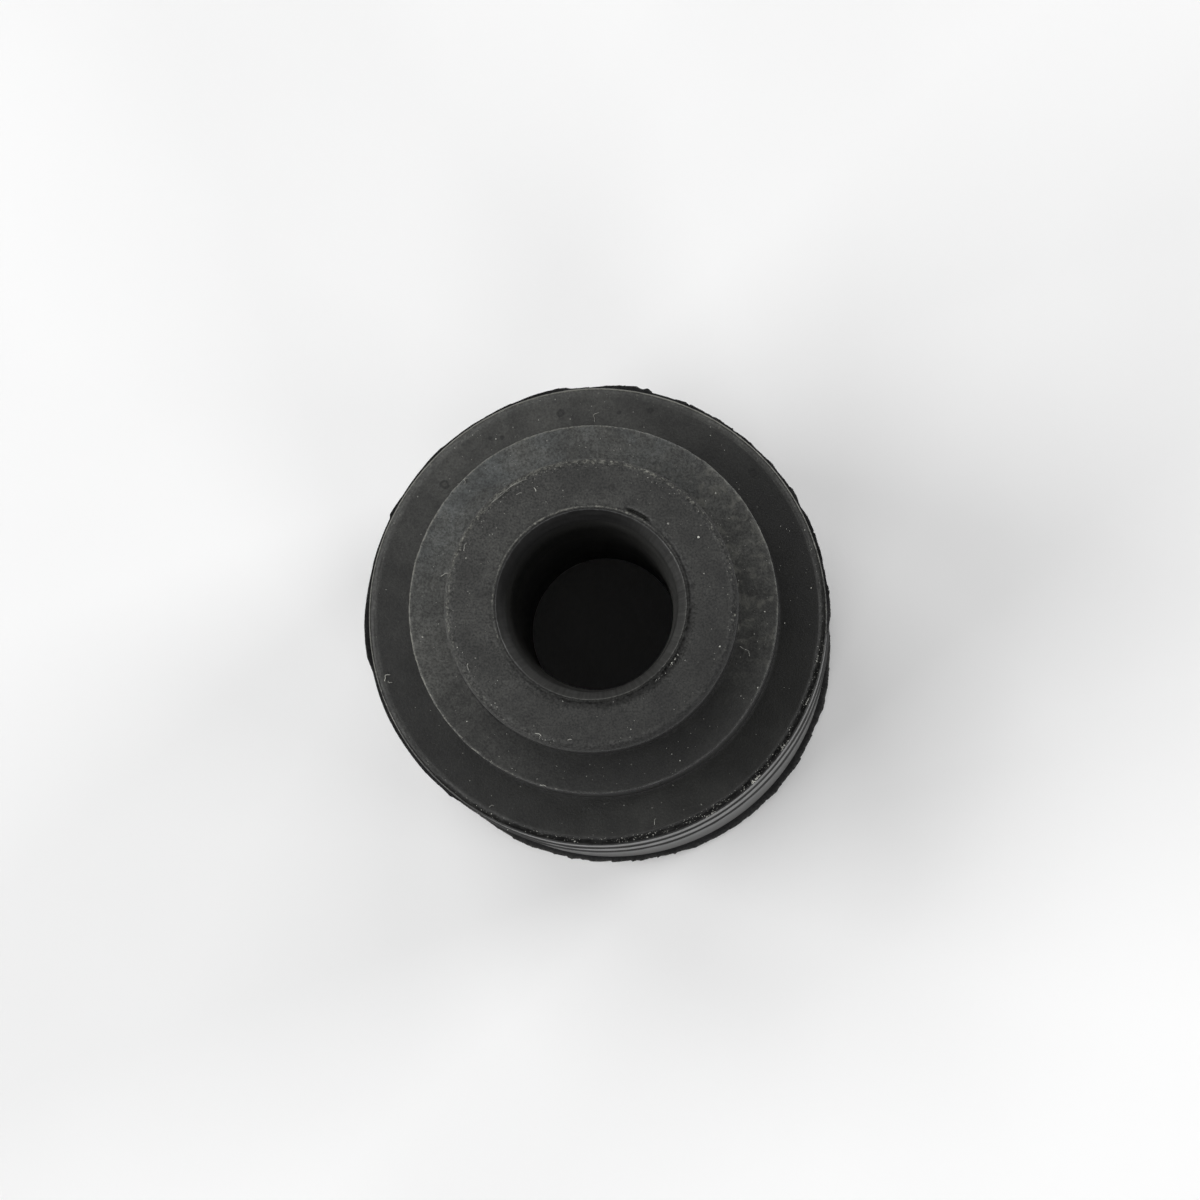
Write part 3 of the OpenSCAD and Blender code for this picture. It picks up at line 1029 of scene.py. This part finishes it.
# What lies on the moulding, in millimetres and degrees, is placed on its face: body, step or boss.
# Each fibre is its face, its place (x, y), its length, its direction, its bend and its radius.
FIBRES = [
    ("body", (-12.35, -3.62), 0.5, 60, 0.16, 0.022),
    ("body", (-12.2, -3.85), 0.26, 170, 0.05, 0.018),
    ("body", (-0.02, 11.75), 0.62, 75, 0.2, 0.016),
    ("step", (-7.33, 7.45), 0.42, 70, 0.14, 0.02),
    ("step", (8.75, -2.52), 0.85, -40, 0.14, 0.01),
    ("step", (-8.62, 2.0), 0.5, 25, 0.05, 0.018),
    ("step", (-2.9, -10.25), 0.4, 350, 0.04, 0.016),
    ("boss", (-4.1, 6.35), 0.34, 20, 0.03, 0.024),
    ("boss", (-3.2, 6.6), 0.26, 300, 0.03, 0.016),
    ("boss", (-4.75, 6.45), 2.6, 37, 0.13, 0.008),
    ("boss", (-5.2, 6.25), 1.3, 41, 0.05, 0.007),
    ("boss", (-7.2, 3.3), 0.5, 75, 0.05, 0.02),
    ("boss", (-7.0, -3.6), 0.4, 100, 0.05, 0.016),
    ("boss", (-3.0, -7.5), 0.4, 340, 0.06, 0.014),
    ("boss", (-1.2, -7.8), 0.25, 10, 0.03, 0.011),
    ("body", (3.4, -12.1), 0.4, 85, 0.05, 0.014),
    ("body", (-6.2, -11.2), 0.3, 20, 0.06, 0.014),
]
# Each listed speck is its face, its place (x, y) and its radius.
SPECKS = [
    ("boss", (6.18, 3.82), 0.075),
    ("boss", (4.45, 4.6), 0.06),
    ("boss", (6.5, 1.72), 0.045),
    ("boss", (-6.6, -3.1), 0.04),
    ("boss", (2.3, -7.2), 0.04),
    ("step", (7.08, 6.69), 0.06),
    ("step", (9.9, -0.2), 0.05),
    ("step", (9.3, -1.5), 0.05),
    ("step", (9.5, -4.6), 0.05),
    ("step", (-7.3, -6.5), 0.045),
    ("step", (-9.9, -1.6), 0.05),
    ("step", (-2.7, 9.8), 0.05),
    ("body", (12.55, 1.6), 0.05),
    ("body", (-12.45, 1.6), 0.04),
    ("body", (6.1, -11.1), 0.045),
    ("body", (-10.6, 7.1), 0.045),
    ("body", (-6.0, 10.5), 0.04),
]

# Fine dust: face, inner and outer distance from the axis, middle and spread in degrees, how many.
SPRINKLES = [
    ("boss", 6.2, 8.1, 0, 180, 90),
    ("boss", 7.75, 8.2, 120, 60, 70),
    ("step", 8.7, 10.6, 40, 110, 130),
    ("body", 10.9, 13.3, 60, 120, 90),
    ("body", 12.95, 13.38, -58, 34, 380),
]
# Each heap of crumbs is its face, its place (x, y), its direction, its half length, its half width, how
# many crumbs and their radius.
HEAPS = [
    ("body", (9.42, -9.5), 43, 0.34, 0.05, 30, 0.034),
    ("body", (9.1, -9.82), 43, 0.12, 0.06, 12, 0.04),
    ("body", (11.0, -7.62), 55, 0.45, 0.04, 22, 0.026),
    ("body", (12.35, -5.0), 66, 0.3, 0.04, 14, 0.026),
    ("body", (6.7, -11.65), 30, 0.4, 0.04, 14, 0.024),
    ("body", (12.9, -2.6), 78, 0.3, 0.04, 10, 0.024),
    ("boss", (-2.5, -7.75), 345, 0.7, 0.12, 26, 0.02),
    ("boss", (-4.7, 6.35), 37, 0.9, 0.12, 26, 0.018),
    ("boss", (-7.55, 1.9), 80, 0.8, 0.12, 20, 0.018),
    ("boss", (7.8, 1.6), 82, 1.0, 0.14, 22, 0.017),
    ("boss", (4.75, -3.3), 55, 0.6, 0.06, 16, 0.02),
    ("boss", (3.9, -4.3), 40, 0.35, 0.06, 8, 0.018),
]


def face_heights(sizes):
    """Height of each face in millimetres."""
    return {
        "body": sizes.body_height / MM,
        "step": (sizes.body_height + sizes.step_height) / MM,
        "boss": sizes.total_height / MM,
    }


def edge_fall(sizes, spots):
    """How far the rounded edge of the boss lies below its face at each spot, in millimetres: the
    height of an arc, past the place where the edge begins."""
    edge = sizes.boss_edge / MM
    past = np.hypot(spots[:, 0], spots[:, 1]) - (sizes.boss_radius / MM - edge)
    return edge - np.sqrt(edge ** 2 - np.clip(past, 0, edge) ** 2)


def pebbles(rng, centres, radii, sides=6, levels=3):
    """Rings of flattened, uneven pebbles, one a centre: rings of points on a squashed ball, each point
    moved in or out by a random share."""
    turn = 2 * math.pi * np.arange(sides) / sides
    rise = np.linspace(-1.1, 1.1, levels)
    ball = np.stack([
        np.cos(rise)[:, None] * np.cos(turn),
        np.cos(rise)[:, None] * np.sin(turn),
        0.5 * np.sin(rise)[:, None] * np.ones(sides),
    ], axis=-1)
    uneven = rng.uniform(0.65, 1.25, (len(centres), levels, sides, 1))
    return centres[:, None, None] + radii[:, None, None, None] * ball * uneven


def dust_grains(rng, sizes, level):
    """Places and radii of all the grains, in millimetres: the specks one by one, the crumbs of each heap
    spread by a Gaussian along and across its direction, and the fine dust even in its distance squared
    and Gaussian in its direction. On the boss they come down with its rounded edge."""
    uneven, fine_radius = 0.35, 0.018
    centres = [np.array([(*place, level[face] + radius * 0.3) for face, place, radius in SPECKS])]
    radii = [np.array([radius for _, _, radius in SPECKS])]
    for face, place, direction, half_length, half_width, count, radius in HEAPS:
        along, across = rng.normal(0, 0.5, (2, count)) * [[half_length], [half_width]]
        height = np.full(count, level[face] - 0.02)
        centres.append(np.column_stack([*laid(place, direction, along, across), height]))
        radii.append(radius * rng.lognormal(0, uneven, count))
    roll_starts, in_roll, on_face = 12.5, -0.03, 0.004
    for face, inner, outer, middle, spread, count in SPRINKLES:
        far = np.sqrt(rng.uniform(inner ** 2, outer ** 2, count))
        turn = np.radians(rng.normal(middle, spread, count))
        height = np.full(count, level[face] + (in_roll if inner > roll_starts else on_face))
        centres.append(np.column_stack([far * np.cos(turn), far * np.sin(turn), height]))
        radii.append(rng.lognormal(math.log(fine_radius), uneven, count))
    centres = np.vstack(centres)
    on_boss = centres[:, 2] > level["boss"] - 1
    centres[on_boss, 2] -= edge_fall(sizes, centres[on_boss])
    return centres, np.concatenate(radii)


class GROMMET_OT_dust(bpy.types.Operator):
    """Lays lint and dust on the faces"""

    bl_idname = "grommet.dust"
    bl_label = "Lint and dust"

    def execute(self, context):
        scene = context.scene
        sizes = scene.grommet_sizes
        level = face_heights(sizes)
        fibres = np.stack([
            tube(fibre_path((*place, level[face]), span, direction, bend), radius)
            for face, place, span, direction, bend, radius in FIBRES
        ])
        rng = np.random.default_rng(scene.grommet_marks.seed + 3)
        grains = pebbles(rng, *dust_grains(rng, sizes, level))
        material = dust_material(scene.grommet_looks.dust)
        for name, rings in (("lint", fibres), ("dust", grains)):
            points, triangles = capped_rings(rings)
            piece = mesh_from_arrays(name, points * MM, triangles)
            piece.data.materials.append(material)
            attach(piece, "root")
        return {"FINISHED"}


# Stage

# Camera: place in millimetres and turn in degrees.
CAMERA_PLACE = (14.63, -26.05, 333.4)
CAMERA_TURN = (4.952, 2.661, 0.017)
# Soft lamps: name, azimuth and elevation in degrees, size in metres, power in watts, as for lamps
# that stand at the near distance. They stand at the away distance, larger in its ratio to the near one
# and stronger in the square of that.
NEAR, AWAY = 0.9, 1.4
LAMPS = [
    ("left_window", (180, 32), 0.45, 2.75),
    ("left_high", (180, 52), 0.4, 1.63),
    ("back_high", (126, 52), 0.4, 2.2),
    ("back", (75, 32), 0.4, 1.6),
    ("low_left", (210, 12), 0.34, 6.6),
    ("low_right", (30, 12), 0.34, 7.8),
    ("low_front", (300, 12), 0.34, 4.5),
    ("low_front_left", (255, 12), 0.34, 3.4),
    ("low_side", (345, 12), 0.34, 2.9),
]


def area_lamp(name, direction, distance, size, power):
    """A square area lamp that looks at the grommet from a direction, given as azimuth and elevation."""
    azimuth, elevation = (math.radians(a) for a in direction)
    data = bpy.data.lights.new(name, "AREA")
    data.shape = "SQUARE"
    data.size = size
    data.energy = power
    lamp = bpy.data.objects.new(name, data)
    lamp.location = np.array([
        math.cos(elevation) * math.cos(azimuth),
        math.cos(elevation) * math.sin(azimuth),
        math.sin(elevation),
    ]) * distance
    lamp.rotation_euler = (math.pi / 2 - elevation, 0, azimuth + math.pi / 2)
    bpy.context.scene.collection.objects.link(lamp)


def pale_floor(colour):
    """A wide flat floor just under the grommet."""
    half = 0.6
    corners = np.array([(-half, -half, 0), (half, -half, 0), (half, half, 0), (-half, half, 0)])
    floor = mesh_from_arrays("floor", corners, np.array([[0, 1, 2, 3]]))
    material, tree, shader = new_material("plain_floor", 0.9)
    cloud = ramp(tree, noise(tree, object_place(tree), 40.0, 3.0, 0.5), 0.3, 0.7)
    faint = blend_colour(tree, cloud, [c * 0.985 for c in colour], colour)
    feed(tree, shader, {"Base Color": faint, "Specular IOR Level": 0.1})
    floor.data.materials.append(material)


def even_sky(scene, level):
    """White light, even all round, of the given strength."""
    world = bpy.data.worlds.new("studio")
    world.use_nodes = True
    background = world.node_tree.nodes["Background"]
    feed(world.node_tree, background, {"Color": (1, 1, 1, 1), "Strength": level})
    scene.world = world


def photo_camera(scene, focal_length):
    """The camera at the photograph's viewing angle."""
    data = bpy.data.cameras.new("camera")
    data.lens = focal_length
    data.sensor_width = 36
    data.clip_start = 0.01
    camera = bpy.data.objects.new("camera", data)
    camera.location = np.array(CAMERA_PLACE) * MM
    camera.rotation_euler = [math.radians(a) for a in CAMERA_TURN]
    scene.collection.objects.link(camera)
    scene.camera = camera


class GROMMET_OT_stage(bpy.types.Operator):
    """Sets the pale floor, the soft lamps and the camera"""

    bl_idname = "grommet.stage"
    bl_label = "Stage"

    def execute(self, context):
        scene = context.scene
        stage = scene.grommet_stage
        pale_floor(stage.floor)
        ratio = AWAY / NEAR
        for name, direction, size, watts in LAMPS:
            area_lamp(name, direction, AWAY, size * ratio, watts * stage.lamp_level * ratio ** 2)
        even_sky(scene, stage.sky_level)
        photo_camera(scene, stage.focal_length)
        scene.view_settings.view_transform = "Standard"
        return {"FINISHED"}


SETTINGS = {
    "grommet_sizes": MouldingSizes,
    "grommet_marks": MouldMarks,
    "grommet_looks": RubberLooks,
    "grommet_stage": StageSettings,
}
OPERATORS = (GROMMET_OT_moulding, GROMMET_OT_flash, GROMMET_OT_dust, GROMMET_OT_stage)


class GROMMET_PT_panel(bpy.types.Panel):
    """Lists the pieces of the grommet"""

    bl_idname = "GROMMET_PT_panel"
    bl_label = "Grommet"
    bl_space_type = "VIEW_3D"
    bl_region_type = "UI"
    bl_category = "Grommet"

    def draw(self, context):
        for operator in OPERATORS:
            self.layout.operator(operator.bl_idname)
        for settings in SETTINGS:
            group = getattr(context.scene, settings)
            box = self.layout.box()
            for name in group.__annotations__:
                box.prop(group, name)


CLASSES = (*SETTINGS.values(), *OPERATORS, GROMMET_PT_panel)


def register():
    """Registers the classes and hangs the settings on the scene."""
    for cls in CLASSES:
        bpy.utils.register_class(cls)
    for name, kind in SETTINGS.items():
        setattr(bpy.types.Scene, name, PointerProperty(type=kind))


def unregister():
    """Takes the settings off the scene and unregisters the classes."""
    for name in SETTINGS:
        delattr(bpy.types.Scene, name)
    for cls in reversed(CLASSES):
        bpy.utils.unregister_class(cls)


def main():
    """Builds every piece in order."""
    register()
    bpy.ops.grommet.moulding()
    bpy.ops.grommet.flash()
    bpy.ops.grommet.dust()
    bpy.ops.grommet.stage()


if __name__ == "__main__":
    main()
